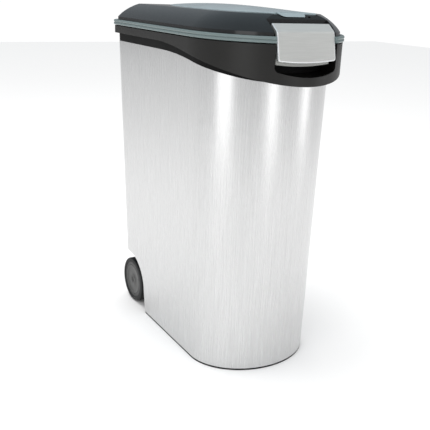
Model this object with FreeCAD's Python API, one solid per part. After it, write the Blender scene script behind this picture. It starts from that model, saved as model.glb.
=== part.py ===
import FreeCAD, Part
import math
import os

# Wheeled pet food bin.  Millimetres, +Z up, front at -Y, origin at the centre of the footprint on the floor.

# ---- overall sizes ----
tub_height = 583.5
rim_width = 277.5
rim_length = 493.5

# ---- tub, tapered and leaning back, set in from the rim ----
tub_side_inset = 9.0
tub_side_taper = 11.0
tub_rear_inset = 6.7
tub_rear_lean = 28.5
tub_nose_inset = 46.8
tub_nose_lean = 2.0
tub_corner_radius = 35.0
tub_base_nose_depth = 96.0
tub_top_nose_depth = 105.0
tub_wall = 2.8
tub_floor_underside = 6.0
tub_floor_thickness = 3.0
foot_ring_width = 8.0

# ---- brushed wrap around the tub ----
wrap_thickness = 0.5
wrap_bottom = 3.5
wrap_seam_gap = 1.0
wrap_rear_drop = 26.0
wrap_front_drop = 35.0
wrap_sweep_length = 220.0
wrap_sweep_power = 2.0

# ---- wheels, wells and stub axles ----
wheel_radius = 48.0
wheel_width = 26.0
wheel_floor_clearance = 1.0
wheel_rear_setback = 37.0
wheel_side_inset = 1.75
tyre_thickness = 9.5
tyre_edge_round = 3.0
hub_web_thickness = 5.0
hub_boss_radius = 10.0
hub_face_recess = 1.2
cap_radius = 33.0
cap_thickness = 2.0
well_gap = 18.5
well_depth = 34.75
well_foot_offset = 72.0
axle_radius = 4.0
axle_clearance = 0.05
axle_grip_length = 13.0
axle_boss_radius = 9.0
axle_end_to_cap = 3.0
clip_radius = 7.0
clip_thickness = 1.0

# ---- collar: flared rim, apron, front nose with its finger pocket ----
rim_corner_radius = 36.0
rim_nose_depth = 158.0
collar_inset = 2.0
collar_wall = 2.8
collar_deck_thickness = 3.0
collar_lip_wall = 2.4
collar_lip_depth = 11.0
collar_fit_gap = 0.3
apron_rear_drop = 10.5
apron_front_drop = 61.5
apron_sweep_start = 226.7
apron_sweep_power = 1.6
pocket_floor_thickness = 3.0
pocket_wall = 2.5
pocket_side_gap = 3.5
pocket_lip_drop = 46.7
pocket_lip_rise = 6.5
pocket_corner = 9.0

# ---- catch strip that the latch fingers meet ----
strip_setback = 26.8
strip_thickness = 2.5
strip_below_latch = 6.5
strip_side_gap = 4.0
notch_side_inset = 22.5
notch_width = 6.0
notch_depth = 3.5

# ---- lid ----
lid_seat_gap = 1.5
band_height = 10.0
band_depth = 9.0
band_edge_round = 1.5
band_groove = 1.6
band_fit_gap = 0.3
shell_wall = 2.6
shell_inset = 8.0
shell_wall_height = 5.5
shell_crown_height = 31.5
shell_crown_inset = 42.0
shell_bevel_roundness = 0.3
front_slope_rise = 38.8
front_slope_angle = 58.0
inlay_tip_setback = 40.7
inlay_half_width = 70.0
inlay_front_narrowing = 0.861
inlay_fullness = 0.62
inlay_tip_sharpness = 0.8
inlay_dome = 7.5
inlay_edge = 0.5
inlay_front_rise = 1.8
inlay_recess = 1.2
inlay_wall = 2.4
inlay_overhang = 0.9
tab_left = -38.0
tab_right = 16.0
tab_height = 6.2
tab_taper_length = 17.0
tab_corner = 1.5
tab_thickness = 1.4
peep_left = 21.5
peep_width = 6.5
peep_height = 3.4
peep_drop = 7.4
peep_depth = 4.5
liner_thickness = 2.2
liner_plug_depth = 7.0
liner_plug_wall = 2.0
gasket_height = 4.0
gasket_width = 2.2
gasket_clearance = 0.5

# ---- lid hinge at the rear ----
hinge_setback = 5.3
hinge_drop = 3.0
hinge_rod_radius = 2.0
hinge_barrel_radius = 4.4
hinge_clearance = 0.06
hinge_centre_x = 70.0
hinge_middle_length = 24.0
hinge_outer_length = 14.0
hinge_end_gap = 0.6

# ---- latch on the lid's front ----
latch_width = 113.0
latch_bottom_drop = 22.0
latch_bottom_bow = 3.5
latch_bottom_setback = 13.9
latch_fold_rise = 22.0
latch_fold_setback = 23.1
latch_top_rise = 33.0
latch_top_setback = 37.6
latch_fold_radius = 7.0
latch_corner_radius = 4.0
latch_skin = 1.5
latch_lever_wall = 2.5
latch_side_gap = 3.5
latch_pivot_setback = 39.8
latch_pivot_rise = 25.5
latch_pin_radius = 1.5
latch_pin_clearance = 0.06
latch_pin_grip = 1.3
latch_lug_radius = 4.3
latch_lug_length = 13.0
latch_lug_side_inset = 10.5
latch_back_gap = 1.4
latch_finger_gap = 1.3
latch_finger_height = 8.0
latch_rib_depth = 2.4

# ---- places that follow from the sizes above ----
rim_rear = 0.5 * rim_length
rim_front = -0.5 * rim_length
tub_top_width = rim_width - 2.0 * tub_side_inset
tub_base_width = tub_top_width - 2.0 * tub_side_taper
tub_top_rear = rim_rear - tub_rear_inset
tub_base_rear = tub_top_rear - tub_rear_lean
tub_top_front = rim_front + tub_nose_inset
tub_base_front = tub_top_front + tub_nose_lean
wheel_centre_y = tub_base_rear - wheel_rear_setback
wheel_centre_z = wheel_radius + wheel_floor_clearance
wheel_outer_face_x = 0.5 * tub_base_width - wheel_side_inset
well_inner_x = 0.5 * tub_base_width - well_depth
apron_sweep_start_y = rim_rear - apron_sweep_start
deck_top = tub_height + collar_deck_thickness
lid_bottom = deck_top + lid_seat_gap
band_top = lid_bottom + band_height
crown_z = band_top + shell_crown_height
hinge_y = rim_rear + hinge_setback
hinge_z = lid_bottom - hinge_drop
strip_front_y = rim_front + strip_setback
latch_bottom = tub_height - latch_bottom_drop
latch_pivot_y = rim_front + latch_pivot_setback
latch_pivot_z = tub_height + latch_pivot_rise
far = 2.0 * rim_length


def d_wire(half_width, rear, front, corner, nose_depth, z):
    """Plan outline: straight rear and sides, rounded rear corners, half-ellipse front."""
    side_start = front + nose_depth
    k = corner * (1.0 - math.sqrt(0.5))
    right_rear = FreeCAD.Vector(half_width, rear - corner, z)
    rear_right = FreeCAD.Vector(half_width - corner, rear, z)
    rear_left = FreeCAD.Vector(corner - half_width, rear, z)
    left_rear = FreeCAD.Vector(-half_width, rear - corner, z)
    left_front = FreeCAD.Vector(-half_width, side_start, z)
    right_front = FreeCAD.Vector(half_width, side_start, z)
    corner_right = FreeCAD.Vector(half_width - k, rear - k, z)
    corner_left = FreeCAD.Vector(k - half_width, rear - k, z)
    centre = FreeCAD.Vector(0, side_start, z)
    if nose_depth > half_width:
        long_end = FreeCAD.Vector(0, front, z)
        ellipse = Part.Ellipse(long_end, right_front, centre)
    else:
        ellipse = Part.Ellipse(right_front, FreeCAD.Vector(0, side_start + nose_depth, z), centre)
    start = ellipse.parameter(left_front)
    middle = ellipse.parameter(FreeCAD.Vector(0, front, z))
    end = ellipse.parameter(right_front)
    turn = 2.0 * math.pi
    middle = start + (middle - start) % turn
    end = start + (end - start) % turn
    if middle > end:
        start, end = end, start + turn
    nose = ellipse.toShape(start, end)
    edges = [
        Part.LineSegment(rear_right, rear_left).toShape(),
        Part.Arc(rear_left, corner_left, left_rear).toShape(),
        Part.LineSegment(left_rear, left_front).toShape(),
        nose,
        Part.LineSegment(right_front, right_rear).toShape(),
        Part.Arc(right_rear, corner_right, rear_right).toShape(),
    ]
    return Part.Wire(Part.__sortEdges__(edges))


def tub_wire(z, grow):
    """Outline of the tub at height z, moved outward by grow."""
    t = z / tub_height
    half_width = 0.5 * (tub_base_width + (tub_top_width - tub_base_width) * t) + grow
    rear = tub_base_rear + (tub_top_rear - tub_base_rear) * t + grow
    front = tub_base_front + (tub_top_front - tub_base_front) * t - grow
    depth = tub_base_nose_depth + (tub_top_nose_depth - tub_base_nose_depth) * t + grow
    return d_wire(half_width, rear, front, tub_corner_radius + grow, depth, z)


def tub_block(z_low, z_high, grow):
    """Solid tapered block between two heights of the tub's outline."""
    return Part.makeLoft([tub_wire(z_low, grow), tub_wire(z_high, grow)], True, True)


def rim_wire(inset, z):
    """Outline of the flared rim, moved inward by inset."""
    corner = rim_corner_radius * rim_corner_radius / (rim_corner_radius + inset)
    return d_wire(0.5 * rim_width - inset, rim_rear - inset, rim_front + inset, corner,
                  rim_nose_depth - inset, z)


def rim_block(z_low, z_high, inset):
    face = Part.Face(rim_wire(inset, z_low))
    return face.extrude(FreeCAD.Vector(0, 0, z_high - z_low))


def rim_stack(levels):
    """Solid through rim outlines given as (inset, height) from the bottom up."""
    return Part.makeLoft([rim_wire(inset, z) for inset, z in levels], True, True)


def rim_dome(levels):
    """Smoothly curved solid through rim outlines given as (inset, height)."""
    return Part.makeLoft([rim_wire(inset, z) for inset, z in levels], True, False)


def slab(x_low, x_high, y_low, y_high, z_low, z_high):
    corner = FreeCAD.Vector(x_low, y_low, z_low)
    return Part.makeBox(x_high - x_low, y_high - y_low, z_high - z_low, corner)


def rod_x(x_low, x_high, y, z, radius):
    """Round bar along X."""
    return Part.makeCylinder(radius, x_high - x_low, FreeCAD.Vector(x_low, y, z), FreeCAD.Vector(1, 0, 0))


def mirrored(shape):
    return shape.mirror(FreeCAD.Vector(0, 0, 0), FreeCAD.Vector(1, 0, 0))


def side_profile(points, x_low, x_high):
    """Closed polygon in the YZ plane, extruded along X."""
    wire = Part.makePolygon([FreeCAD.Vector(x_low, y, z) for y, z in points + points[:1]])
    return Part.Face(wire).extrude(FreeCAD.Vector(x_high - x_low, 0, 0))


def apron_height(y):
    """Height of the collar's swept lower edge, level at the rear and dropping to the nose."""
    t = (apron_sweep_start_y - y) / (apron_sweep_start_y - rim_front)
    t = min(max(t, 0.0), 1.0)
    return tub_height - apron_rear_drop - (apron_front_drop - apron_rear_drop) * t ** apron_sweep_power


def wrap_height(y):
    """Height of the wrap's top edge, which dips more gently than the apron above it."""
    t = min(max((apron_sweep_start_y - y) / wrap_sweep_length, 0.0), 1.0)
    return tub_height - wrap_rear_drop - wrap_front_drop * t ** wrap_sweep_power


def above_sweep(edge_height, shift):
    """Everything above a swept edge, raised by shift."""
    steps = 14
    curve_points = []
    for i in range(steps + 1):
        y = apron_sweep_start_y + (rim_front - apron_sweep_start_y) * i / steps
        curve_points.append(FreeCAD.Vector(-far, y, edge_height(y) + shift))
    curve = Part.BSplineCurve()
    curve.interpolate(curve_points)
    last = FreeCAD.Vector(-far, -far, edge_height(rim_front) + shift)
    rear = FreeCAD.Vector(-far, far, edge_height(apron_sweep_start_y) + shift)
    roof = 2.0 * tub_height
    chain = Part.makePolygon([curve_points[-1], last, FreeCAD.Vector(-far, -far, roof),
                              FreeCAD.Vector(-far, far, roof), rear, curve_points[0]])
    wire = Part.Wire([curve.toShape()] + chain.Edges)
    return Part.Face(wire).extrude(FreeCAD.Vector(2.0 * far, 0, 0))


def wheel_well(grow):
    """Left rear corner space for one wheel: level roof, arched front and a sloping foot."""
    radius = wheel_radius + well_gap + grow
    cy = wheel_centre_y
    cz = wheel_centre_z
    top = FreeCAD.Vector(0, cy, cz + radius)
    mid = FreeCAD.Vector(0, cy - radius * math.sqrt(0.5), cz + radius * math.sqrt(0.5))
    low = FreeCAD.Vector(0, cy - radius, cz)
    foot = FreeCAD.Vector(0, cy - well_foot_offset - grow, -1.0)
    rear_low = FreeCAD.Vector(0, far, -1.0)
    rear_top = FreeCAD.Vector(0, far, cz + radius)
    edges = [Part.Arc(top, mid, low).toShape()]
    edges += Part.makePolygon([low, foot, rear_low, rear_top, top]).Edges
    face = Part.Face(Part.Wire(edges))
    face.translate(FreeCAD.Vector(-far, 0, 0))
    return face.extrude(FreeCAD.Vector(far - well_inner_x + grow, 0, 0))


def both_wells(grow):
    left = wheel_well(grow)
    return left.fuse(mirrored(left))


def make_tub():
    floor_top = tub_floor_underside + tub_floor_thickness
    outer = tub_block(0, tub_height, 0).cut(both_wells(0))
    inside = tub_block(floor_top, tub_height + 1.0, -tub_wall)
    under = tub_block(-1.0, tub_floor_underside, -foot_ring_width)
    grown_wells = both_wells(tub_wall)
    tub = outer.cut(inside.cut(grown_wells)).cut(under.cut(grown_wells))
    boss = rod_x(-well_inner_x + 0.5, axle_grip_length - well_inner_x + tub_wall,
                 wheel_centre_y, wheel_centre_z, axle_boss_radius)
    bore = rod_x(-well_inner_x - 1.0, axle_grip_length - well_inner_x,
                 wheel_centre_y, wheel_centre_z, axle_radius)
    tub = tub.fuse([boss, mirrored(boss)]).cut([bore, mirrored(bore)])
    return tub.removeSplitter()


def make_wrap():
    sheet = tub_block(wrap_bottom, tub_height, wrap_thickness).cut(tub_block(0, tub_height + 1.0, 0))
    seam = slab(-0.5 * wrap_seam_gap, 0.5 * wrap_seam_gap, 0, far, 0, tub_height + 1.0)
    return sheet.cut([both_wells(0), seam, above_sweep(wrap_height, 0)])


def make_axle(side):
    """Stub axle pressed into the tub's boss; side is -1 left, 1 right."""
    inner = well_inner_x - axle_grip_length
    outer = wheel_outer_face_x - hub_face_recess - cap_thickness - axle_end_to_cap
    stub = rod_x(inner, outer, wheel_centre_y, wheel_centre_z, axle_radius)
    return stub if side > 0 else mirrored(stub)


def make_clip(side):
    """Push-on washer that keeps the hub on its stub axle."""
    outer = wheel_outer_face_x - hub_face_recess - cap_thickness - axle_end_to_cap - 1.0
    disc = rod_x(outer - clip_thickness, outer, wheel_centre_y, wheel_centre_z, clip_radius)
    bore = rod_x(outer - clip_thickness - 1.0, outer + 1.0, wheel_centre_y, wheel_centre_z, axle_radius)
    disc = disc.cut(bore)
    return disc if side > 0 else mirrored(disc)


def make_tyre(side):
    inner_face = wheel_outer_face_x - wheel_width
    ring = rod_x(inner_face, wheel_outer_face_x, wheel_centre_y, wheel_centre_z, wheel_radius)
    rims = [edge for edge in ring.Edges if abs(edge.Length - 2.0 * math.pi * wheel_radius) < 1e-3]
    ring = ring.makeFillet(tyre_edge_round, rims)
    hole = rod_x(inner_face - 1.0, wheel_outer_face_x + 1.0, wheel_centre_y, wheel_centre_z,
                 wheel_radius - tyre_thickness)
    ring = ring.cut(hole)
    return ring if side > 0 else mirrored(ring)


def make_hub(side):
    """Moulded hub: outer ring, web near the outside and a long boss on the axle."""
    y = wheel_centre_y
    z = wheel_centre_z
    radius = wheel_radius - tyre_thickness
    outer = wheel_outer_face_x - hub_face_recess
    inner = wheel_outer_face_x - wheel_width + 1.0
    web_outer = outer - cap_thickness
    web_inner = web_outer - axle_end_to_cap - 1.0 - clip_thickness - hub_web_thickness
    ring = rod_x(inner, outer, y, z, radius).cut(rod_x(inner - 1.0, outer + 1.0, y, z, cap_radius))
    web = rod_x(web_inner, web_outer, y, z, cap_radius)
    boss = rod_x(inner, web_outer, y, z, hub_boss_radius)
    hub = ring.fuse([web, boss])
    bore = rod_x(inner - 1.0, outer, y, z, axle_radius + axle_clearance)
    clip_seat = web_outer - axle_end_to_cap - 1.0 - clip_thickness - 0.4
    counterbore = rod_x(clip_seat, outer, y, z, clip_radius + 1.0)
    hub = hub.cut([bore, counterbore]).removeSplitter()
    return hub if side > 0 else mirrored(hub)


def make_cap(side):
    outer = wheel_outer_face_x - hub_face_recess
    disc = rod_x(outer - cap_thickness, outer, wheel_centre_y, wheel_centre_z, cap_radius)
    return disc if side > 0 else mirrored(disc)


def pocket_half_width():
    return 0.5 * latch_width + pocket_side_gap


def pocket_window():
    """Mouth of the finger pocket: bowed lower edge, rounded lower corners, open at the top."""
    half = pocket_half_width()
    low = tub_height - pocket_lip_drop
    side_low = low + pocket_lip_rise
    inner = half - pocket_corner
    top = deck_top + 2.0 * band_height
    bow = Part.Arc(FreeCAD.Vector(-inner, -far, side_low), FreeCAD.Vector(0, -far, low),
                   FreeCAD.Vector(inner, -far, side_low)).toShape()
    k = pocket_corner * (1.0 - math.sqrt(0.5))
    right = Part.Arc(FreeCAD.Vector(inner, -far, side_low), FreeCAD.Vector(half - k, -far, side_low + k),
                     FreeCAD.Vector(half, -far, side_low + pocket_corner)).toShape()
    left = Part.Arc(FreeCAD.Vector(-half, -far, side_low + pocket_corner),
                    FreeCAD.Vector(k - half, -far, side_low + k),
                    FreeCAD.Vector(-inner, -far, side_low)).toShape()
    sides = Part.makePolygon([FreeCAD.Vector(half, -far, side_low + pocket_corner),
                              FreeCAD.Vector(half, -far, top), FreeCAD.Vector(-half, -far, top),
                              FreeCAD.Vector(-half, -far, side_low + pocket_corner)])
    wire = Part.Wire([bow, right] + sides.Edges + [left])
    return Part.Face(wire).extrude(FreeCAD.Vector(0, far + strip_front_y, 0))


def collar_knuckles():
    """Two rear knuckle groups' fixed barrels with the arms that carry them."""
    pieces = []
    for centre in (-hinge_centre_x, hinge_centre_x):
        for sign in (-1, 1):
            near = centre + sign * (0.5 * hinge_middle_length + hinge_end_gap)
            low = min(near, near + sign * hinge_outer_length)
            high = max(near, near + sign * hinge_outer_length)
            barrel = rod_x(low, high, hinge_y, hinge_z, hinge_barrel_radius)
            skirt_y = rim_rear - collar_inset - 0.5 * collar_wall
            arm = side_profile([(skirt_y, hinge_z - 10.0), (hinge_y, hinge_z - hinge_barrel_radius),
                                (hinge_y, hinge_z), (skirt_y, hinge_z)], low, high)
            pieces.append(barrel.fuse(arm))
    return pieces


def hinge_rod_span():
    reach = hinge_centre_x + 0.5 * hinge_middle_length + hinge_end_gap + hinge_outer_length
    return -reach, reach


def make_collar():
    low = tub_height - apron_front_drop - 1.0
    outer = rim_block(low, deck_top, collar_inset)
    under = rim_block(low - 1.0, tub_height, collar_inset + collar_wall)
    skirt = outer.cut(under)
    mouth = tub_block(low, deck_top + 1.0, -(tub_wall + collar_fit_gap + collar_lip_wall))
    skirt = skirt.cut(mouth)
    lip_outer = tub_block(tub_height - collar_lip_depth, tub_height + 1.0, -(tub_wall + collar_fit_gap))
    lip = lip_outer.cut(mouth).common(slab(-far, far, -far, far, 0, tub_height + 0.5))
    tub_space = tub_block(0.5 * tub_height, tub_height + 1.0, collar_fit_gap)
    half = pocket_half_width()
    inside = rim_block(low, tub_height + 0.5, collar_inset + 0.5 * collar_wall)
    wide = half + pocket_wall
    nose = inside.common(slab(-wide, wide, rim_front, 0.25 * rim_front, low, deck_top))
    nose = nose.cut(tub_space)
    hollow = slab(-half, half, rim_front - 1.0, 0, low - 1.0, tub_height)
    side_walls = nose.cut(hollow)
    pocket_floor = nose.cut(above_sweep(apron_height, pocket_floor_thickness))
    collar = skirt.fuse([lip, side_walls, pocket_floor])
    collar = collar.common(above_sweep(apron_height, 0))
    collar = collar.cut(pocket_window())
    collar = collar.fuse(collar_knuckles())
    x_low, x_high = hinge_rod_span()
    collar = collar.cut(rod_x(x_low - 1.0, x_high + 1.0, hinge_y, hinge_z, hinge_rod_radius))
    return collar.removeSplitter()


def bow_block(half, low, bow, y_low, y_high, top):
    """Block whose lower face is bowed: highest at both ends, lower by bow in the middle."""
    ends = [FreeCAD.Vector(-half, y_low, low), FreeCAD.Vector(half, y_low, low)]
    arc = Part.Arc(ends[0], FreeCAD.Vector(0, y_low, low - bow), ends[1]).toShape()
    rest = Part.makePolygon([ends[1], FreeCAD.Vector(half, y_low, top),
                             FreeCAD.Vector(-half, y_low, top), ends[0]])
    return Part.Face(Part.Wire([arc] + rest.Edges)).extrude(FreeCAD.Vector(0, y_high - y_low, 0))


def make_catch_strip():
    half = 0.5 * latch_width - strip_side_gap
    low = latch_bottom - strip_below_latch
    bar = bow_block(half, low, latch_bottom_bow, strip_front_y, strip_front_y + strip_thickness, tub_height)
    notches = []
    offset = 0.5 * latch_width - notch_side_inset
    for x in (-offset, offset):
        notches.append(slab(x - 0.5 * notch_width, x + 0.5 * notch_width, rim_front, 0.5 * rim_front,
                            latch_bottom - notch_depth, latch_bottom + latch_finger_height + 2.0))
    return bar.cut(notches)


def make_hinge_rod():
    x_low, x_high = hinge_rod_span()
    return rod_x(x_low, x_high, hinge_y, hinge_z, hinge_rod_radius)


def latch_bay(grow):
    """Space in the lid's front that the latch fills and swings in."""
    half = 0.5 * latch_width + latch_side_gap + grow
    swing = math.hypot(latch_top_setback - latch_pivot_setback, latch_top_rise - latch_pivot_rise)
    back = latch_pivot_y + swing + latch_back_gap + grow
    return slab(-half, half, rim_front - 10.0, back, lid_bottom - 10.0, crown_z + 20.0)


def shell_levels(offset):
    """Outer profile of the lid shell from its wall, over the bevel, to the crown."""
    base = band_top
    wall_top = base + shell_wall_height
    rise = crown_z - wall_top
    run = shell_crown_inset - shell_inset
    levels = [(shell_inset + offset, wall_top - 0.45 * offset)]
    steps = 6
    for i in range(1, steps + 1):
        angle = 0.5 * math.pi * i / steps
        blend = shell_bevel_roundness
        across = blend * (1.0 - math.cos(angle)) + (1.0 - blend) * i / steps
        up = blend * math.sin(angle) + (1.0 - blend) * i / steps
        levels.append((shell_inset + offset + run * across, wall_top + rise * up - 0.75 * offset))
    return levels


def slope_height(y):
    """Height of the lid's slanted front face above the latch bay."""
    bay_rear = latch_bay(0).BoundBox.YMax
    return tub_height + front_slope_rise + (y - bay_rear) * math.tan(math.radians(front_slope_angle))


def above_slope(drop):
    """Everything above the steep face behind the latch bay, lowered by drop and as wide as the bay."""
    half = latch_bay(0).BoundBox.XMax
    foot = slope_height(-far) - drop
    head = slope_height(0) - drop
    return side_profile([(-far, foot), (0, head), (0, far + far), (-far, far + far)], -half, half)


def inlay_block(side_margin, edge, dome_shift):
    """Leaf-shaped domed block: pointed at the rear, broad amidships, cut square above the latch."""
    front_y = latch_bay(0).BoundBox.YMax
    tip_y = rim_rear - inlay_tip_setback
    steps = 12
    tip = 0.01
    wires = []
    for i in range(steps + 1):
        s = tip + (1.0 - tip) * (i / steps) ** 1.35
        y = tip_y + (front_y - tip_y) * s
        leaf = math.sin(math.pi * inlay_front_narrowing * s ** inlay_tip_sharpness) ** inlay_fullness
        half = inlay_half_width * leaf - side_margin
        rim_z = crown_z + edge + inlay_front_rise * s ** 4
        a = FreeCAD.Vector(-half, y, crown_z - inlay_recess)
        b = FreeCAD.Vector(half, y, crown_z - inlay_recess)
        c = FreeCAD.Vector(half, y, rim_z)
        d = FreeCAD.Vector(-half, y, rim_z)
        peak = FreeCAD.Vector(0, y, crown_z + inlay_edge + 0.6 + inlay_dome * leaf * leaf + dome_shift)
        wires.append(Part.Wire([Part.LineSegment(a, b).toShape(), Part.LineSegment(b, c).toShape(),
                                Part.Arc(c, peak, d).toShape(), Part.LineSegment(d, a).toShape()]))
    return Part.makeLoft(wires, True, False)


def inlay_form():
    return inlay_block(0, inlay_edge, 0).cut(above_slope(-inlay_overhang))


def make_shell():
    spigot_inset = band_depth + band_fit_gap
    wall_top = band_top + shell_wall_height
    dome = rim_block(band_top, wall_top, shell_inset).fuse(rim_dome(shell_levels(0)))
    spigot = rim_block(lid_bottom, band_top + 1.0, spigot_inset)
    inner_low = rim_block(lid_bottom - 1.0, band_top + shell_wall, spigot_inset + shell_wall)
    inner_high = rim_stack([(spigot_inset + shell_wall, band_top + 0.9 * shell_wall)]
                           + shell_levels(shell_wall)[2:])
    cavity = inner_low.fuse(inner_high).cut(latch_bay(shell_wall))
    shell = dome.fuse(spigot).cut(cavity.cut(above_slope(2.0 * shell_wall)))
    shell = shell.cut([latch_bay(0), above_slope(0)])
    shell = shell.cut([inlay_form(), peep_notch()])
    for centre in (-hinge_centre_x, hinge_centre_x):
        low = centre - 0.5 * hinge_middle_length
        high = centre + 0.5 * hinge_middle_length
        clear = rim_rear + 0.8
        outside = hinge_y + hinge_barrel_radius
        wall_y = rim_rear - shell_inset - 0.5 * shell_wall
        arm = side_profile([(clear, hinge_z), (outside, hinge_z), (outside, band_top - 1.0),
                            (hinge_y - 1.0, band_top + shell_wall_height),
                            (wall_y, band_top + shell_wall_height),
                            (wall_y, band_top + 0.8), (clear, band_top + 0.8)], low, high)
        barrel = rod_x(low, high, hinge_y, hinge_z, hinge_barrel_radius)
        shell = shell.fuse(barrel.fuse(arm))
    x_low, x_high = hinge_rod_span()
    shell = shell.cut(rod_x(x_low - 1.0, x_high + 1.0, hinge_y, hinge_z, hinge_rod_radius + hinge_clearance))
    pin_low, pin_high = latch_pin_span()
    shell = shell.cut(rod_x(pin_low, pin_high, latch_pivot_y, latch_pivot_z, latch_pin_radius))
    return shell.removeSplitter()


def make_band():
    """Two-ribbed rim ring of the lid, open at the latch bay."""
    half = 0.5 * band_height
    g = band_groove
    r = band_edge_round
    levels = [(r, lid_bottom), (0.3 * r, lid_bottom + 0.5 * r), (0, lid_bottom + r),
              (0, lid_bottom + half - r),
              (g, lid_bottom + half - 0.3 * r), (g, lid_bottom + half + 0.3 * r), (0, lid_bottom + half + r),
              (0, band_top - r), (0.3 * r, band_top - 0.5 * r), (r, band_top)]
    ring = rim_stack(levels).cut(rim_block(lid_bottom - 1.0, band_top + 1.0, band_depth))
    return ring.cut(latch_bay(0))


def make_inlay():
    """Domed cover with a hollow underside and a solid edge."""
    hollow_rear = rim_rear - inlay_tip_setback - 20.0 * inlay_wall
    hollow_front = latch_bay(0).BoundBox.YMax + 5.0 * inlay_wall
    hollow = inlay_block(inlay_wall, inlay_edge - inlay_recess, -inlay_wall)
    hollow = hollow.common(slab(-far, far, hollow_front, hollow_rear, 0, far + far))
    return inlay_form().cut(hollow)


def front_edge_top():
    """Height of the inlay's front edge."""
    return crown_z + inlay_edge + inlay_front_rise


def front_prism(points, depth):
    """Closed outline of (x, z) points or (x, z) triples for arcs, run back from the latch bay's rear wall."""
    y = latch_bay(0).BoundBox.YMax - 5.0
    edges = []
    for run in points:
        ends = [FreeCAD.Vector(x, y, z) for x, z in run]
        edges.append(Part.Arc(*ends).toShape() if len(ends) == 3 else Part.LineSegment(*ends).toShape())
    return Part.Face(Part.Wire(edges)).extrude(FreeCAD.Vector(0, depth, 0))


def make_tab():
    """Lip of the inlay that laps over the steep face above the latch, with one tapered end."""
    top = front_edge_top()
    low = top - tab_height
    k = tab_corner * (1.0 - math.sqrt(0.5))
    taper_end = tab_left + tab_taper_length
    sag = 0.3 * tab_height
    outline = front_prism([
        [(tab_left, top), (tab_right, top)],
        [(tab_right, top), (tab_right, low + tab_corner)],
        [(tab_right, low + tab_corner), (tab_right - k, low + k), (tab_right - tab_corner, low)],
        [(tab_right - tab_corner, low), (taper_end, low)],
        [(taper_end, low), (0.5 * (tab_left + taper_end), low + sag), (tab_left, top)]], 20.0)
    lift = tab_thickness / math.cos(math.radians(front_slope_angle))
    return outline.common(above_slope(0)).cut([above_slope(-lift), inlay_form()])


def peep_notch():
    """Small triangular recess in the steep face, beside the tab."""
    low = front_edge_top() - peep_drop
    right = peep_left + peep_width
    middle = peep_left + 0.5 * peep_width
    peak = low + peep_height
    depth = 5.0 + peep_depth
    return front_prism([[(peep_left, low), (right, low)], [(right, low), (middle, peak)],
                        [(middle, peak), (peep_left, low)]], depth)


def make_liner():
    """Flat inner panel with a plug flange that drops into the mouth."""
    inset = band_depth + band_fit_gap + shell_wall
    plate = rim_block(lid_bottom, lid_bottom + liner_thickness, inset)
    plate = plate.cut(latch_bay(shell_wall + band_fit_gap))
    gap = tub_wall + collar_fit_gap + collar_lip_wall + gasket_clearance + gasket_width
    low = lid_bottom - liner_plug_depth
    flange = tub_block(low, lid_bottom + 0.5, -gap).cut(
        tub_block(low - 1.0, lid_bottom + 1.0, -(gap + liner_plug_wall)))
    return plate.fuse(flange).removeSplitter()


def make_gasket():
    outer = tub_wall + collar_fit_gap + collar_lip_wall + gasket_clearance
    low = lid_bottom - liner_plug_depth + 1.0
    return tub_block(low, low + gasket_height, -outer).cut(
        tub_block(low - 1.0, low + gasket_height + 1.0, -(outer + gasket_width)))


def latch_corners(depth):
    """Bottom, fold and top points of the latch's side profile, moved inward by depth."""
    bottom = FreeCAD.Vector(0, rim_front + latch_bottom_setback, latch_bottom)
    fold = FreeCAD.Vector(0, rim_front + latch_fold_setback, tub_height + latch_fold_rise)
    top = FreeCAD.Vector(0, rim_front + latch_top_setback, tub_height + latch_top_rise)
    face = (fold - bottom).normalize()
    bend = (top - fold).normalize()
    face_in = FreeCAD.Vector(0, face.z, -face.y) * depth
    bend_in = FreeCAD.Vector(0, bend.z, -bend.y) * depth
    half_turn = 0.5 * math.acos(face * bend)
    inner_fold = fold + (face_in + bend_in).normalize() * (depth / math.cos(half_turn)) if depth else fold
    low = bottom + face_in - face * (2.0 * latch_bottom_bow)
    return low, inner_fold, top + bend_in


def latch_edges(depth):
    """One side line of the latch: straight face, rounded fold and straight top."""
    low, fold, top = latch_corners(depth)
    face = (fold - low).normalize()
    bend = (top - fold).normalize()
    radius = latch_fold_radius - depth
    half_turn = 0.5 * math.acos(face * bend)
    reach = radius * math.tan(half_turn)
    start = fold - face * reach
    end = fold + bend * reach
    centre_way = (bend - face).normalize()
    centre = fold + centre_way * (radius / math.cos(half_turn))
    middle = centre - centre_way * radius
    return low, start, middle, end, top


def latch_layer(outer_depth, inner_depth, half):
    """Bent sheet between two depths behind the latch's face, with a bowed lower edge."""
    a_low, a_start, a_mid, a_end, a_top = latch_edges(outer_depth)
    b_low, b_start, b_mid, b_end, b_top = latch_edges(inner_depth)
    wire = Part.Wire([Part.LineSegment(a_low, a_start).toShape(), Part.Arc(a_start, a_mid, a_end).toShape(),
                      Part.LineSegment(a_end, a_top).toShape(), Part.LineSegment(a_top, b_top).toShape(),
                      Part.LineSegment(b_top, b_end).toShape(), Part.Arc(b_end, b_mid, b_start).toShape(),
                      Part.LineSegment(b_start, b_low).toShape(), Part.LineSegment(b_low, a_low).toShape()])
    face = Part.Face(wire)
    face.translate(FreeCAD.Vector(-half, 0, 0))
    sheet = face.extrude(FreeCAD.Vector(2.0 * half, 0, 0))
    return sheet.common(bow_block(half, latch_bottom, latch_bottom_bow, rim_front, 0.5 * rim_front, crown_z))


def make_latch_face():
    skin = latch_layer(0, latch_skin, 0.5 * latch_width)
    edges = [edge for edge in skin.Edges
             if edge.BoundBox.XLength < 1e-6
             and edge.BoundBox.ZMax < latch_bottom + 1.0
             and abs(abs(edge.BoundBox.XMax) - 0.5 * latch_width) < 1e-6]
    return skin.makeFillet(latch_corner_radius, edges) if edges else skin


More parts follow.
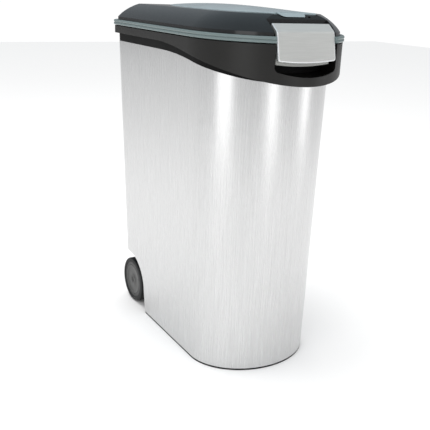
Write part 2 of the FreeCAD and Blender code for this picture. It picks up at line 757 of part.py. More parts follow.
def make_latch_lever():
    """Inner lever: wall behind the face plate, side ribs, pivot lugs and two catch fingers."""
    back = latch_skin + latch_lever_wall
    half = 0.5 * latch_width - 0.3
    pieces = [latch_layer(latch_skin, back, half)]
    rib = latch_layer(latch_skin + 0.5, back + latch_rib_depth, half)
    for sign in (-1, 1):
        low = min(sign * half, sign * (half - latch_lever_wall))
        high = max(sign * half, sign * (half - latch_lever_wall))
        pieces.append(rib.common(slab(low, high, rim_front, 0, latch_bottom + 3.0, crown_z)))
        centre = sign * (0.5 * latch_width - latch_lug_side_inset)
        lug_low = centre - 0.5 * latch_lug_length
        lug_high = centre + 0.5 * latch_lug_length
        pieces.append(rod_x(lug_low, lug_high, latch_pivot_y, latch_pivot_z, latch_lug_radius))
        fold_low = latch_edges(back - 0.5)
        arm = side_profile([(latch_pivot_y, latch_pivot_z - latch_lug_radius),
                            (latch_pivot_y, latch_pivot_z + 0.8 * latch_lug_radius),
                            (fold_low[3].y, fold_low[3].z), (fold_low[1].y, fold_low[1].z),
                            (fold_low[1].y, latch_pivot_z - 2.2 * latch_lug_radius)], lug_low, lug_high)
        pieces.append(arm)
        x = sign * (0.5 * latch_width - notch_side_inset)
        wide = 0.5 * notch_width - 1.0
        finger = slab(x - wide, x + wide,
                      rim_front + latch_bottom_setback + back, strip_front_y - latch_finger_gap,
                      latch_bottom, latch_bottom + latch_finger_height)
        pieces.append(finger)
    lever = pieces[0].fuse(pieces[1:])
    bore_radius = latch_pin_radius + latch_pin_clearance
    bore = rod_x(-half - 1.0, half + 1.0, latch_pivot_y, latch_pivot_z, bore_radius)
    return lever.cut(bore).removeSplitter()


def latch_pin_span():
    reach = 0.5 * latch_width + latch_side_gap + latch_pin_grip
    return -reach, reach


def make_latch_pin():
    low, high = latch_pin_span()
    return rod_x(low, high, latch_pivot_y, latch_pivot_z, latch_pin_radius)


os.makedirs("parts", exist_ok=True)
nodes = {
    "tub": make_tub(),
    "brushed_wrap": make_wrap(),
    "collar": make_collar(),
    "catch_strip": make_catch_strip(),
    "hinge_rod": make_hinge_rod(),
    "lid_shell": make_shell(),
    "lid_band": make_band(),
    "lid_inlay": make_inlay(),
    "inlay_tab": make_tab(),
    "lid_liner": make_liner(),
    "lid_gasket": make_gasket(),
    "latch_face": make_latch_face(),
    "latch_lever": make_latch_lever(),
    "latch_pin": make_latch_pin(),
}
for side, label in ((-1, "left"), (1, "right")):
    nodes["axle_" + label] = make_axle(side)
    nodes["axle_clip_" + label] = make_clip(side)
    nodes["tyre_" + label] = make_tyre(side)
    nodes["hub_" + label] = make_hub(side)
    nodes["cap_" + label] = make_cap(side)
footprint_centre_y = 0.5 * (hinge_y + hinge_barrel_radius + rim_front + collar_inset)
for name, shape in nodes.items():
    shape.translate(FreeCAD.Vector(0, -footprint_centre_y, 0))
    shape.exportStep("parts/" + name + ".step")
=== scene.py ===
import bpy
import bmesh
import math
from mathutils import Matrix, Vector


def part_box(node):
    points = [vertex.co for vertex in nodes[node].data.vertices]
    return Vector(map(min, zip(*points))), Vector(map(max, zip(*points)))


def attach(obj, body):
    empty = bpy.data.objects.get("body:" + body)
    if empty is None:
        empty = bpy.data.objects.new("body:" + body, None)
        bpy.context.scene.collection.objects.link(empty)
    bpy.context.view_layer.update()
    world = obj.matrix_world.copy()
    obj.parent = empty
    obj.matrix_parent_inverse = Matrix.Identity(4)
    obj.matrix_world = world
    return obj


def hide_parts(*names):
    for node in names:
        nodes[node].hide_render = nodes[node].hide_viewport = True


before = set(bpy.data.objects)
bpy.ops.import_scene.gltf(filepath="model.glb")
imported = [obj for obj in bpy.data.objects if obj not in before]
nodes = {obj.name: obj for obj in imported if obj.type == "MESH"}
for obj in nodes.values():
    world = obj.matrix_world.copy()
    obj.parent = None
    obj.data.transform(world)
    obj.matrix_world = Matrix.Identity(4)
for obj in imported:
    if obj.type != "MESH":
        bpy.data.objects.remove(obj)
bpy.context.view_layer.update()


# ---- Tub ----
# The bin's body: one deep blow-moulded shell of black polypropylene with a fine spark-eroded grain.
# It shows as the dark line under the wrap, in the wheel wells and below the collar's swept edge.

def moulded_plastic(name, colour, roughness, grain_depth, sheen_patches):
    """Injection-moulded plastic: fine grain, slightly uneven gloss, edges eased by the mould."""
    material = bpy.data.materials.new(name)
    material.use_nodes = True
    tree = material.node_tree
    shader = tree.nodes["Principled BSDF"]
    shader.inputs["Specular IOR Level"].default_value = 0.5
    place = tree.nodes.new("ShaderNodeTexCoord")
    grain = tree.nodes.new("ShaderNodeTexNoise")
    grain.inputs["Scale"].default_value = 900.0
    grain.inputs["Detail"].default_value = 3.0
    patches = tree.nodes.new("ShaderNodeTexNoise")
    patches.inputs["Scale"].default_value = 14.0
    patches.inputs["Detail"].default_value = 4.0
    gloss = tree.nodes.new("ShaderNodeMapRange")
    gloss.inputs["From Min"].default_value = 0.3
    gloss.inputs["From Max"].default_value = 0.7
    gloss.inputs["To Min"].default_value = roughness - sheen_patches
    gloss.inputs["To Max"].default_value = roughness + sheen_patches
    tint = tree.nodes.new("ShaderNodeValToRGB")
    tint.color_ramp.elements[0].position = 0.3
    tint.color_ramp.elements[0].color = [0.95 * c for c in colour] + [1.0]
    tint.color_ramp.elements[1].position = 0.7
    tint.color_ramp.elements[1].color = [1.05 * c for c in colour] + [1.0]
    eased = tree.nodes.new("ShaderNodeBevel")
    eased.samples = 4
    eased.inputs["Radius"].default_value = 0.0006
    bump = tree.nodes.new("ShaderNodeBump")
    bump.inputs["Strength"].default_value = grain_depth
    bump.inputs["Distance"].default_value = 0.0002
    links = tree.links
    links.new(place.outputs["Object"], grain.inputs["Vector"])
    links.new(place.outputs["Object"], patches.inputs["Vector"])
    links.new(patches.outputs["Fac"], gloss.inputs["Value"])
    links.new(patches.outputs["Fac"], tint.inputs["Fac"])
    links.new(gloss.outputs["Result"], shader.inputs["Roughness"])
    links.new(tint.outputs["Color"], shader.inputs["Base Color"])
    links.new(grain.outputs["Fac"], bump.inputs["Height"])
    links.new(eased.outputs["Normal"], bump.inputs["Normal"])
    links.new(bump.outputs["Normal"], shader.inputs["Normal"])
    return material


def dress(node, material):
    """Gives a moulded or turned part its finish."""
    for slot in nodes[node].material_slots:
        slot.material = material


tub_plastic = moulded_plastic("tub_black_plastic", (0.008, 0.008, 0.008), 0.5, 0.25, 0.06)
tub_plastic.node_tree.nodes["Principled BSDF"].inputs["IOR"].default_value = 1.15
dress("tub", tub_plastic)


# ---- Brushed wrap ----
# A thin sheet of brushed aluminium-effect film on a stiff backing, wrapped round the tub and closed behind.
# It is brushed upright and reflects the light banks and the floor, so the rounded nose shows soft streaks.

wrap_metal = bpy.data.materials.new("brushed_wrap_metal")
wrap_metal.use_nodes = True
tree = wrap_metal.node_tree
links = tree.links
shader = tree.nodes["Principled BSDF"]
shader.inputs["Metallic"].default_value = 1.0
place = tree.nodes.new("ShaderNodeTexCoord")
brush_place = tree.nodes.new("ShaderNodeMapping")
brush_place.inputs["Scale"].default_value = (1.0, 1.0, 0.012)
links.new(place.outputs["Object"], brush_place.inputs["Vector"])
brush = tree.nodes.new("ShaderNodeTexNoise")
brush.inputs["Scale"].default_value = 850.0
brush.inputs["Detail"].default_value = 5.0
brush.inputs["Roughness"].default_value = 0.65
links.new(brush_place.outputs["Vector"], brush.inputs["Vector"])
brush_grey = tree.nodes.new("ShaderNodeMapRange")
brush_grey.inputs["From Min"].default_value = 0.3
brush_grey.inputs["From Max"].default_value = 0.7
brush_grey.inputs["To Min"].default_value = 0.56
brush_grey.inputs["To Max"].default_value = 0.68
links.new(brush.outputs["Fac"], brush_grey.inputs["Value"])
links.new(brush_grey.outputs["Result"], shader.inputs["Base Color"])
polish = tree.nodes.new("ShaderNodeMapRange")
polish.inputs["To Min"].default_value = 0.22
polish.inputs["To Max"].default_value = 0.32
links.new(brush.outputs["Fac"], polish.inputs["Value"])
links.new(polish.outputs["Result"], shader.inputs["Roughness"])
brush_bump = tree.nodes.new("ShaderNodeBump")
brush_bump.inputs["Strength"].default_value = 0.12
brush_bump.inputs["Distance"].default_value = 0.00015
links.new(brush.outputs["Fac"], brush_bump.inputs["Height"])
links.new(brush_bump.outputs["Normal"], shader.inputs["Normal"])
dress("brushed_wrap", wrap_metal)


# ---- Collar ----
# The flared rim moulded in satin black: it clips over the tub's mouth and sweeps down to a nose at the front.
# The nose holds the finger pocket under the latch, and the rear edge carries the hinge barrels.

collar_plastic = moulded_plastic("collar_satin_black", (0.0085, 0.008, 0.007), 0.40, 0.35, 0.05)
collar_plastic.node_tree.nodes["Principled BSDF"].inputs["IOR"].default_value = 1.4
dress("collar", collar_plastic)


# ---- Catch strip ----
# A grey strip moulded across the back of the finger pocket, with two notches that the latch's fingers meet.

strip_plastic = moulded_plastic("grey_strip_plastic", (0.42, 0.43, 0.41), 0.42, 0.2, 0.05)
dress("catch_strip", strip_plastic)


# ---- Hinge rod, stub axles, push-on washers and latch pin ----
# Drawn steel rod cut to length, bright and slightly streaked along its length.

rod_steel = bpy.data.materials.new("drawn_steel")
rod_steel.use_nodes = True
tree = rod_steel.node_tree
links = tree.links
shader = tree.nodes["Principled BSDF"]
shader.inputs["Metallic"].default_value = 1.0
place = tree.nodes.new("ShaderNodeTexCoord")
along = tree.nodes.new("ShaderNodeMapping")
along.inputs["Scale"].default_value = (0.03, 1.0, 1.0)
links.new(place.outputs["Object"], along.inputs["Vector"])
draw_marks = tree.nodes.new("ShaderNodeTexNoise")
draw_marks.inputs["Scale"].default_value = 2200.0
draw_marks.inputs["Detail"].default_value = 4.0
links.new(along.outputs["Vector"], draw_marks.inputs["Vector"])
steel_grey = tree.nodes.new("ShaderNodeValToRGB")
steel_grey.color_ramp.elements[0].color = (0.36, 0.36, 0.37, 1.0)
steel_grey.color_ramp.elements[1].color = (0.66, 0.66, 0.67, 1.0)
links.new(draw_marks.outputs["Fac"], steel_grey.inputs["Fac"])
links.new(steel_grey.outputs["Color"], shader.inputs["Base Color"])
steel_polish = tree.nodes.new("ShaderNodeMapRange")
steel_polish.inputs["To Min"].default_value = 0.22
steel_polish.inputs["To Max"].default_value = 0.42
links.new(draw_marks.outputs["Fac"], steel_polish.inputs["Value"])
links.new(steel_polish.outputs["Result"], shader.inputs["Roughness"])
for part in ("hinge_rod", "axle_left", "axle_right", "axle_clip_left", "axle_clip_right", "latch_pin"):
    dress(part, rod_steel)


# ---- Lid shell ----
# The lid's body in gloss black plastic: a low wall, a wide slanted bevel and a flat crown.
# A square bay is cut into its front for the latch, and two arms at the rear reach down to the hinge rod.

shell_gloss = moulded_plastic("lid_gloss_black", (0.012, 0.0125, 0.013), 0.16, 0.03, 0.03)
shell_gloss.node_tree.nodes["Principled BSDF"].inputs["Coat Weight"].default_value = 0.2
shell_gloss.node_tree.nodes["Principled BSDF"].inputs["IOR"].default_value = 1.45
shell_gloss.node_tree.nodes["Principled BSDF"].inputs["Coat Roughness"].default_value = 0.08
dress("lid_shell", shell_gloss)


# ---- Lid band ----
# The grey-green rim of the lid, two rounded ribs with a groove between them, open where the latch sits.

band_low, band_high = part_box("lid_band")
bay_half_width = 0.060
rim_corner = 0.036
rim_nose_depth = 0.158
band_depth = 0.009
groove_depth = 0.0019
rib_steps = 12


def rim_outline(half_width, rear, front, corner, nose_depth, gap_half):
    """Rim points and their outward directions, from the bay's right edge round the rear to its left."""
    side_start = front + nose_depth
    first = math.asin(gap_half / half_width)
    nose_steps = 72
    run = []
    for k in range(nose_steps):
        angle = first + (0.5 * math.pi - first) * k / nose_steps
        point = Vector((half_width * math.sin(angle), side_start - nose_depth * math.cos(angle), 0.0))
        out = Vector((math.sin(angle) / half_width, -math.cos(angle) / nose_depth, 0.0)).normalized()
        run.append((point, out))
    for k in range(25):
        y = side_start + (rear - corner - side_start) * k / 24
        run.append((Vector((half_width, y, 0.0)), Vector((1.0, 0.0, 0.0))))
    for k in range(1, 17):
        angle = 0.5 * math.pi * k / 16
        out = Vector((math.cos(angle), math.sin(angle), 0.0))
        run.append((Vector((half_width - corner, rear - corner, 0.0)) + corner * out, out))
    for k in range(1, 9):
        run.append((Vector(((half_width - corner) * (1.0 - k / 8), rear, 0.0)), Vector((0.0, 1.0, 0.0))))
    far_side = [(Vector((-p.x, p.y, 0.0)), Vector((-o.x, o.y, 0.0))) for p, o in reversed(run[:-1])]
    return run + far_side


def crease(build, degrees):
    """Smooth shading that breaks along edges sharper than the given angle."""
    for face in build.faces:
        face.smooth = True
    for edge in build.edges:
        edge.smooth = len(edge.link_faces) == 2 and edge.calc_face_angle() < math.radians(degrees)


def made_piece(name, build, material):
    """Turns a finished build into an object of the scene."""
    bmesh.ops.recalc_face_normals(build, faces=build.faces)
    data = bpy.data.meshes.new(name)
    build.to_mesh(data)
    build.free()
    data.materials.append(material)
    piece = bpy.data.objects.new(name, data)
    bpy.context.scene.collection.objects.link(piece)
    return piece


def swept(build, outline, section):
    """Capped skin through one closed section of (inset, height) carried along an open outline."""
    rings = []
    for point, out in outline:
        rings.append([build.verts.new(point - out * inset + Vector((0.0, 0.0, z))) for inset, z in section])
    count = len(section)
    for a, b in zip(rings, rings[1:]):
        for k in range(count):
            build.faces.new((a[k], a[(k + 1) % count], b[(k + 1) % count], b[k]))
    build.faces.new(rings[0])
    build.faces.new(list(reversed(rings[-1])))


ribs = []
for k in range(2 * rib_steps + 1):
    climb = k / (2 * rib_steps)
    across_rib = 2.0 * ((2.0 * climb) % 1.0) - 1.0
    swell = max(1.0 - across_rib * across_rib, 0.0) ** 0.5
    ribs.append((groove_depth * (1.0 - swell), band_low.z + (band_high.z - band_low.z) * climb))
band_section = ribs + [(band_depth, band_high.z), (band_depth, band_low.z)]
band_build = bmesh.new()
bay_turn = math.cos(math.asin(bay_half_width / band_high.x))
rim_front = band_low.y - rim_nose_depth * (1.0 - bay_turn)
band_path = rim_outline(band_high.x, band_high.y, rim_front, rim_corner, rim_nose_depth, bay_half_width)
swept(band_build, band_path, band_section)
crease(band_build, 50.0)
band_plastic = moulded_plastic("grey_green_band", (0.130, 0.170, 0.170), 0.30, 0.10, 0.05)
band = made_piece("rim_band", band_build, band_plastic)
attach(band, "lid")
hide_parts("lid_band")


# ---- Lid inlay and its front tab ----
# A pale blue-grey leaf let into the crown, domed and glossy, pointed at the rear and cut off above the latch.

inlay_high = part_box("lid_inlay")[1]
inlay_half_width = 0.070
crown_height = 0.6295
inlay_recess = 0.0012
inlay_rim = 0.0005
inlay_crown_rise = 0.00745
inlay_front_rise = 0.0018
front_face_height = 0.6223
front_face_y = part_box("latch_face")[1].y + 0.0116
front_face_lean = math.tan(math.radians(58.0))
inlay_overhang = 0.0009
inlay_edge_round = 0.0011
long_steps = 90
cross_steps = 44
tip_y = inlay_high.y + 0.0040


def inlay_top(along, across):
    """Point on the inlay's top: along runs from the rear tip to the front, across from -1 to 1."""
    leaf = max(math.sin(math.pi * 0.861 * along ** 0.8), 0.0) ** 0.62
    half = inlay_half_width * leaf
    rim_height = crown_height + inlay_rim + inlay_front_rise * along ** 4
    peak = crown_height + inlay_rim + 0.0006 + inlay_crown_rise * leaf * leaf
    height = rim_height + (peak - rim_height) * (1.0 - across * across)
    edge_gap = (1.0 - abs(across)) * half
    if edge_gap < inlay_edge_round:
        drop = 1.0 - edge_gap / inlay_edge_round
        height -= inlay_edge_round * (1.0 - math.sqrt(max(1.0 - drop * drop, 0.0)))
    front_y = front_face_y + (height - front_face_height - inlay_overhang) / front_face_lean
    return Vector((half * across, tip_y + (front_y - tip_y) * along, height))


def toward_edges(k, steps):
    """Steps from -1 to 1 that crowd together near both ends."""
    return math.sin(0.5 * math.pi * (2.0 * k / steps - 1.0))


inlay_build = bmesh.new()
top_rows = []
foot_rows = []
for i in range(long_steps + 1):
    along = 0.012 + 0.988 * (i / long_steps) ** 1.3
    row = [inlay_top(along, toward_edges(k, cross_steps)) for k in range(cross_steps + 1)]
    top_rows.append([inlay_build.verts.new(p) for p in row])
    foot_rows.append([inlay_build.verts.new((p.x, p.y, crown_height - inlay_recess + 0.0001)) for p in row])
for i in range(long_steps):
    top, next_top = top_rows[i], top_rows[i + 1]
    foot, next_foot = foot_rows[i], foot_rows[i + 1]
    for k in range(cross_steps):
        inlay_build.faces.new((top[k], top[k + 1], next_top[k + 1], next_top[k]))
        inlay_build.faces.new((foot[k], next_foot[k], next_foot[k + 1], foot[k + 1]))
    for k in (0, cross_steps):
        inlay_build.faces.new((top[k], next_top[k], next_foot[k], foot[k]))
for i in (0, long_steps):
    for k in range(cross_steps):
        inlay_build.faces.new((top_rows[i][k], top_rows[i][k + 1], foot_rows[i][k + 1], foot_rows[i][k]))
crease(inlay_build, 40.0)
inlay_plastic = moulded_plastic("pale_inlay", (0.28, 0.345, 0.37), 0.20, 0.05, 0.04)
inlay = made_piece("leaf_inlay", inlay_build, inlay_plastic)
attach(inlay, "lid")
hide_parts("lid_inlay")
dress("inlay_tab", inlay_plastic)


# ---- Liner and gasket under the lid ----
# The flat black panel that closes the lid from below, with a soft ring that seals against the tub's mouth.

liner_plastic = moulded_plastic("liner_black_plastic", (0.020, 0.020, 0.021), 0.45, 0.25, 0.06)
dress("lid_liner", liner_plastic)
gasket_rubber = moulded_plastic("gasket_grey_rubber", (0.10, 0.10, 0.10), 0.75, 0.4, 0.05)
dress("lid_gasket", gasket_rubber)


# ---- Latch ----
# A lift-up flap: a grey moulded lever on a steel pin, faced with a satin metal plate that bends over its top.

latch_satin = bpy.data.materials.new("latch_satin_metal")
latch_satin.use_nodes = True
tree = latch_satin.node_tree
links = tree.links
shader = tree.nodes["Principled BSDF"]
shader.inputs["Metallic"].default_value = 0.55
place = tree.nodes.new("ShaderNodeTexCoord")
across = tree.nodes.new("ShaderNodeMapping")
across.inputs["Scale"].default_value = (0.02, 1.0, 1.0)
links.new(place.outputs["Object"], across.inputs["Vector"])
satin = tree.nodes.new("ShaderNodeTexNoise")
satin.inputs["Scale"].default_value = 1500.0
satin.inputs["Detail"].default_value = 4.0
links.new(across.outputs["Vector"], satin.inputs["Vector"])
satin_grey = tree.nodes.new("ShaderNodeValToRGB")
satin_grey.color_ramp.elements[0].position = 0.3
satin_grey.color_ramp.elements[0].color = (0.55, 0.55, 0.53, 1.0)
satin_grey.color_ramp.elements[1].position = 0.7
satin_grey.color_ramp.elements[1].color = (0.62, 0.62, 0.60, 1.0)
links.new(satin.outputs["Fac"], satin_grey.inputs["Fac"])
links.new(satin_grey.outputs["Color"], shader.inputs["Base Color"])
satin_polish = tree.nodes.new("ShaderNodeMapRange")
satin_polish.inputs["To Min"].default_value = 0.28
satin_polish.inputs["To Max"].default_value = 0.40
links.new(satin.outputs["Fac"], satin_polish.inputs["Value"])
links.new(satin_polish.outputs["Result"], shader.inputs["Roughness"])
lever_plastic = moulded_plastic("grey_lever_plastic", (0.17, 0.18, 0.175), 0.40, 0.2, 0.05)
dress("latch_lever", lever_plastic)

face_low, face_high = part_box("latch_face")
face_half_width = face_high.x
face_thickness = 0.0015
face_corner = 0.004
face_bow = 0.0035
face_fold_height = 0.6055
face_fold_y = face_low.y + 0.00975
fold_radius = 0.007
face_columns = 60
# width of the polished rim along the plate's sides and foot; the rim's lighter colour is a painted highlight
polished_and_highlight_rim = 0.0018
rim_drop = 0.0007


def latch_line():
    """Side line of the latch's outer surface as (y, z) points: straight panel, rounded fold, straight top."""
    panel_foot = Vector((face_low.y + 0.00055, face_low.z + face_bow))
    fold = Vector((face_fold_y, face_fold_height))
    head = Vector((face_high.y - 0.00091, face_high.z))
    panel_way = (fold - panel_foot).normalized()
    head_way = (head - fold).normalized()
    half_turn = 0.5 * math.acos(panel_way.dot(head_way))
    reach = fold_radius * math.tan(half_turn)
    centre = fold + (head_way - panel_way).normalized() * (fold_radius / math.cos(half_turn))
    bend_start = fold - panel_way * reach
    bend_end = fold + head_way * reach
    first = math.atan2(bend_start.y - centre.y, bend_start.x - centre.x)
    last = math.atan2(bend_end.y - centre.y, bend_end.x - centre.x)
    if last > first:
        last -= 2.0 * math.pi
    bend = []
    for k in range(1, 12):
        angle = first + (last - first) * k / 12
        bend.append(centre + fold_radius * Vector((math.cos(angle), math.sin(angle))))
    return panel_foot, panel_way, [bend_start] + bend + [bend_end, head]


panel_foot, panel_way, upper_line = latch_line()
face_build = bmesh.new()
face_grid = []
for k in range(face_columns + 1):
    x = face_half_width * toward_edges(k, face_columns)
    foot = -face_bow * (1.0 - (x / face_half_width) ** 2)
    into_corner = abs(x) - (face_half_width - face_corner)
    if into_corner > 0.0:
        foot += face_corner - math.sqrt(max(face_corner ** 2 - into_corner ** 2, 0.0))
    start = panel_foot + panel_way * foot
    panel = [start.lerp(upper_line[0], j / 24) for j in range(24)]
    rim_fall = max(1.0 - (face_half_width - abs(x)) / polished_and_highlight_rim, 0.0) * rim_drop
    line = panel + upper_line
    column = []
    for j, p in enumerate(line):
        run = (line[min(j + 1, len(line) - 1)] - line[max(j - 1, 0)]).normalized()
        fall = max(rim_fall, rim_drop if j == 0 else 0.0)
        column.append(face_build.verts.new((x, p.x + run.y * fall, p.y - run.x * fall)))
    face_grid.append(column)
for a, b in zip(face_grid, face_grid[1:]):
    at_side = abs(a[0].co.x + b[0].co.x) * 0.5 > face_half_width - polished_and_highlight_rim
    for k in range(len(a) - 1):
        patch = face_build.faces.new((a[k], b[k], b[k + 1], a[k + 1]))
        # the side rim and the foot row take the second material: polished, with a painted highlight in its
        # lighter colour
        patch.material_index = 1 if at_side or k == 0 else 0
crease(face_build, 30.0)
latch_plate = made_piece("latch_plate", face_build, latch_satin)
# polished rim: lower roughness is real, the lighter base colour than the satin face is a painted highlight
polished_edge_and_highlight = moulded_plastic("polished_latch_edge_painted_highlight", (0.74, 0.75, 0.76), 0.18, 0.02, 0.03)
polished_edge_and_highlight.node_tree.nodes["Principled BSDF"].inputs["Metallic"].default_value = 0.6
latch_plate.data.materials.append(polished_edge_and_highlight)
thickness = latch_plate.modifiers.new("sheet thickness", "SOLIDIFY")
thickness.thickness = face_thickness
thickness.offset = -1.0
eased_edges = latch_plate.modifiers.new("eased edges", "BEVEL")
eased_edges.width = 0.0006
eased_edges.segments = 3
eased_edges.limit_method = "ANGLE"
eased_edges.angle_limit = math.radians(50.0)
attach(latch_plate, "latch")
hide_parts("latch_face")


# ---- Wheels ----
# Each wheel is a soft black tyre on a moulded hub, closed on the outside by a flat snap-in cap.

tyre_rubber = moulded_plastic("tyre_rubber", (0.006, 0.006, 0.006), 0.62, 0.4, 0.06)
hub_plastic = moulded_plastic("hub_dark_grey", (0.030, 0.030, 0.030), 0.45, 0.25, 0.05)
cap_plastic = moulded_plastic("cap_grey", (0.048, 0.048, 0.046), 0.42, 0.25, 0.05)
tyre_wall = 0.0095
shoulder = 0.0035
tread_groove_depth = 0.0011
tread_groove_width = 0.0016
wheel_steps = 128


def turned(build, section, centre_y, centre_z):
    """Closed section of (x, radius) points turned about the wheel's axis."""
    rings = []
    for k in range(wheel_steps):
        angle = 2.0 * math.pi * k / wheel_steps
        rings.append([build.verts.new((x, centre_y + r * math.cos(angle), centre_z + r * math.sin(angle)))
                      for x, r in section])
    count = len(section)
    for a, b in zip(rings, rings[1:] + rings[:1]):
        for k in range(count):
            build.faces.new((a[k], a[(k + 1) % count], b[(k + 1) % count], b[k]))


for side, sign in (("left", -1.0), ("right", 1.0)):
    dress("hub_" + side, hub_plastic)
    tyre_low, tyre_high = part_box("tyre_" + side)
    centre_y = 0.5 * (tyre_low.y + tyre_high.y)
    centre_z = 0.5 * (tyre_low.z + tyre_high.z)
    radius = 0.5 * (tyre_high.z - tyre_low.z)
    inner_x = min(abs(tyre_low.x), abs(tyre_high.x))
    outer_x = max(abs(tyre_low.x), abs(tyre_high.x))
    section = [(outer_x, radius - tyre_wall), (outer_x, radius - shoulder - 0.0025),
               (outer_x - 0.0006, radius - shoulder - 0.0020), (outer_x, radius - shoulder - 0.0012)]
    for k in range(7):
        angle = 0.5 * math.pi * k / 6
        section.append((outer_x - shoulder * (1.0 - math.cos(angle)),
                        radius - shoulder * (1.0 - math.sin(angle))))
    for part in (0.72, 0.5, 0.28):
        groove_x = inner_x + (outer_x - inner_x) * part
        half = 0.5 * tread_groove_width
        section += [(groove_x + half, radius), (groove_x + 0.6 * half, radius - tread_groove_depth),
                    (groove_x - 0.6 * half, radius - tread_groove_depth), (groove_x - half, radius)]
    for k in range(7):
        angle = 0.5 * math.pi * (1.0 - k / 6)
        section.append((inner_x + shoulder * (1.0 - math.cos(angle)),
                        radius - shoulder * (1.0 - math.sin(angle))))
    section.append((inner_x, radius - tyre_wall))
    tyre_build = bmesh.new()
    turned(tyre_build, [(sign * x, r) for x, r in section], centre_y, centre_z)
    crease(tyre_build, 35.0)
    tyre = made_piece("soft_tyre_" + side, tyre_build, tyre_rubber)
    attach(tyre, "wheel_" + side)
    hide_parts("tyre_" + side)

    cap_low, cap_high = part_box("cap_" + side)
    cap_radius = 0.5 * (cap_high.z - cap_low.z)
    cap_outer = max(abs(cap_low.x), abs(cap_high.x))
    cap_inner = min(abs(cap_low.x), abs(cap_high.x))
    cap_section = [(cap_inner, 0.0006), (cap_outer - 0.0010, 0.0006), (cap_outer - 0.0010, 0.0070),
                   (cap_outer - 0.0002, 0.0078), (cap_outer - 0.0002, 0.0092), (cap_outer - 0.0009, 0.0100),
                   (cap_outer - 0.0007, cap_radius - 0.0052), (cap_outer, cap_radius - 0.0044),
                   (cap_outer, cap_radius - 0.0010), (cap_outer - 0.0008, cap_radius - 0.0002),
                   (cap_inner, cap_radius - 0.0002)]
    cap_build = bmesh.new()
    turned(cap_build, [(sign * x, r) for x, r in cap_section], centre_y, centre_z)
    crease(cap_build, 25.0)
    cap = made_piece("hub_cap_" + side, cap_build, cap_plastic)
    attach(cap, "wheel_" + side)
    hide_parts("cap_" + side)


# ---- Floor and studio ----
# A plain pale flat floor in a dim room, with three tall light banks round the front and a soft light above.
# The room looks white behind the bin and lights it evenly; polished parts reflect the dimmer room.

floor_mesh = bmesh.new()
floor_half = 7.0
edges = (-floor_half, floor_half)
corners = [floor_mesh.verts.new((x, y, 0.0)) for y in edges for x in edges]
floor_mesh.faces.new((corners[0], corners[1], corners[3], corners[2]))
floor_data = bpy.data.meshes.new("studio_floor")
floor_mesh.to_mesh(floor_data)
floor_mesh.free()
floor = bpy.data.objects.new("studio_floor", floor_data)
bpy.context.scene.collection.objects.link(floor)
floor_paint = bpy.data.materials.new("floor_paint")
floor_paint.use_nodes = True
tree = floor_paint.node_tree
shader = tree.nodes["Principled BSDF"]
shader.inputs["Roughness"].default_value = 0.9
shader.inputs["Specular IOR Level"].default_value = 0.0
mottle = tree.nodes.new("ShaderNodeTexNoise")
mottle.inputs["Scale"].default_value = 3.0
paint = tree.nodes.new("ShaderNodeValToRGB")
paint.color_ramp.elements[0].color = (0.94, 0.94, 0.94, 1.0)
paint.color_ramp.elements[1].color = (0.97, 0.97, 0.97, 1.0)
tree.links.new(mottle.outputs["Fac"], paint.inputs["Fac"])
tree.links.new(paint.outputs["Color"], shader.inputs["Base Color"])
floor_data.materials.append(floor_paint)

world = bpy.data.worlds.new("studio_world")
world.use_nodes = True
tree = world.node_tree
background = tree.nodes["Background"]
sky_way = tree.nodes.new("ShaderNodeTexCoord")
sky_split = tree.nodes.new("ShaderNodeSeparateXYZ")
tree.links.new(sky_way.outputs["Generated"], sky_split.inputs["Vector"])
room = tree.nodes.new("ShaderNodeValToRGB")
room.color_ramp.elements[0].position = 0.0
room.color_ramp.elements[0].color = (0.28, 0.28, 0.29, 1.0)
room.color_ramp.elements[1].position = 1.0
room.color_ramp.elements[1].color = (0.42, 0.53, 0.60, 1.0)
room.color_ramp.elements.new(0.25).color = (0.34, 0.36, 0.38, 1.0)
tree.links.new(sky_split.outputs["Z"], room.inputs["Fac"])
seen = tree.nodes.new("ShaderNodeLightPath")
backdrop = tree.nodes.new("ShaderNodeMix")
backdrop.data_type = "RGBA"
backdrop.inputs["B"].default_value = (1.02, 1.02, 1.02, 1.0)
plain_white = tree.nodes.new("ShaderNodeMath")
plain_white.operation = "MAXIMUM"
tree.links.new(seen.outputs["Is Camera Ray"], plain_white.inputs[0])
tree.links.new(seen.outputs["Is Diffuse Ray"], plain_white.inputs[1])
tree.links.new(plain_white.outputs["Value"], backdrop.inputs["Factor"])
tree.links.new(room.outputs["Color"], backdrop.inputs["A"])
tree.links.new(backdrop.outputs["Result"], background.inputs["Color"])
bpy.context.scene.world = world
bpy.context.scene.view_settings.view_transform = "Standard"


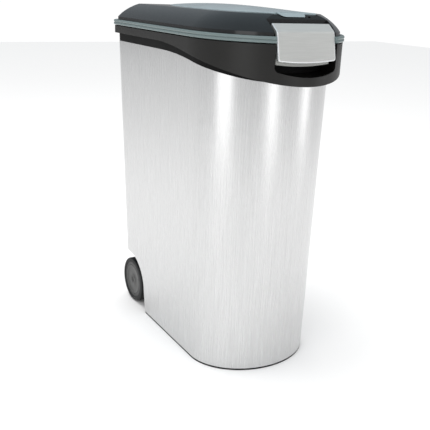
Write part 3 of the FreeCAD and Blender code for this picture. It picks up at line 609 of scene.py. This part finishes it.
def softbox(name, place, target, width, height, power):
    """A large soft light aimed at a point."""
    lamp = bpy.data.lights.new(name, "AREA")
    lamp.shape = "RECTANGLE"
    lamp.size = width
    lamp.size_y = height
    lamp.energy = power
    holder = bpy.data.objects.new(name, lamp)
    holder.location = place
    aim = Vector(target) - Vector(place)
    holder.rotation_mode = "QUATERNION"
    holder.rotation_quaternion = aim.to_track_quat("-Z", "Y")
    bpy.context.scene.collection.objects.link(holder)
    return holder


bank_distance = 2.2
bank_height = 2.4
bank_centre_height = 0.9
# tall light banks stand round the front; each is (name, degrees round from the front, width, power)
light_banks = [("left_bank", -62.0, 1.1, 10.0), ("front_bank", 8.0, 0.5, 6.0),
               ("right_bank", 56.0, 0.45, 5.0)]
for bank_name, turn, bank_width, bank_power in light_banks:
    way = math.radians(turn)
    spot = (bank_distance * math.sin(way), -bank_distance * math.cos(way), bank_centre_height)
    softbox(bank_name, spot, (0.0, 0.0, 0.45), bank_width, bank_height, bank_power)
top_light = softbox("top_softbox", (-0.5, 0.6, 2.4), (0.0, 0.0, 0.6), 1.6, 1.6, 22.0)
top_light.visible_glossy = False

camera_data = bpy.data.cameras.new("product_camera")
camera_data.lens = 56.65
camera_data.sensor_width = 36.0
camera_data.sensor_fit = "HORIZONTAL"
camera_data.clip_start = 0.01
camera_data.clip_end = 60.0
camera = bpy.data.objects.new("product_camera", camera_data)
camera.location = (-0.6752, -1.0943, 0.6613)
heading = -0.544
pitch_down = 0.321
roll = 0.042
forward = Vector((-math.sin(heading) * math.cos(pitch_down), math.cos(heading) * math.cos(pitch_down),
                  -math.sin(pitch_down)))
level_right = Vector((math.cos(heading), math.sin(heading), 0.0))
level_up = level_right.cross(forward)
right = level_right * math.cos(roll) + level_up * math.sin(roll)
up = level_up * math.cos(roll) - level_right * math.sin(roll)
camera.rotation_mode = "QUATERNION"
camera_axes = [[right[k], up[k], -forward[k]] for k in range(3)]
camera.rotation_quaternion = Matrix(camera_axes).to_quaternion()
bpy.context.scene.collection.objects.link(camera)
bpy.context.scene.camera = camera
